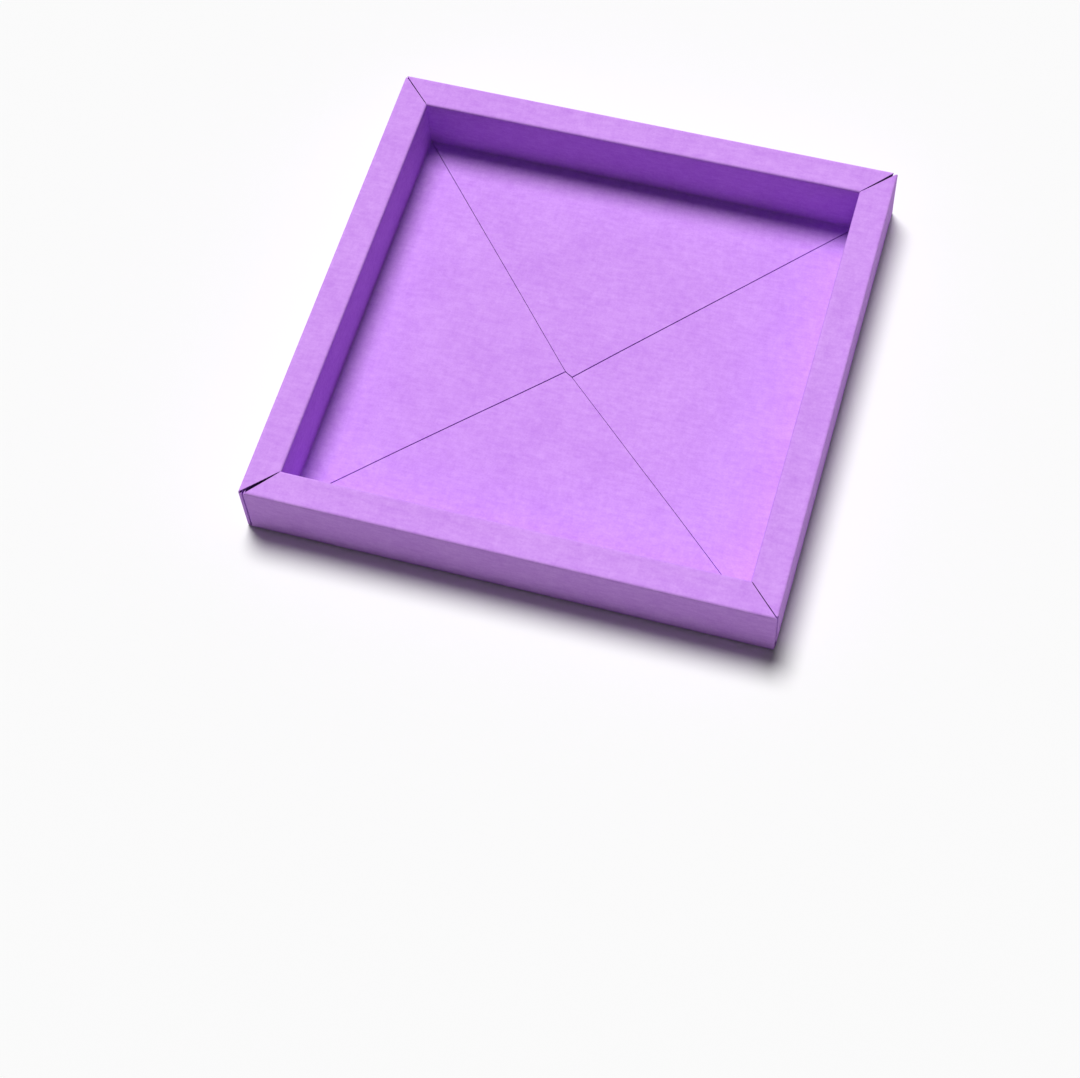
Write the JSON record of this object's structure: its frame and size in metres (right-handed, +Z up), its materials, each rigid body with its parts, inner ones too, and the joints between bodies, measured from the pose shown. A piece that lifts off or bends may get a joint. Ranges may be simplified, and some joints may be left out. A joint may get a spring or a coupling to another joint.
{
  "type": "origami box",
  "caption": "Shallow square tray folded from a sheet of lilac paper, with a hollow mitred rim and triangular flaps that cover the floor.",
  "frame": {"origin": "middle of the underside of the base, where it rests", "axes": "+Z up out of the tray's mouth, +X and +Y along two sides of the square"},
  "size_m": [0.085, 0.085, 0.0105],
  "materials": {
    "paper": "matt"
  },
  "bodies": {
    "root": {"folded_sheet": "paper"}
  },
  "joints": []
}
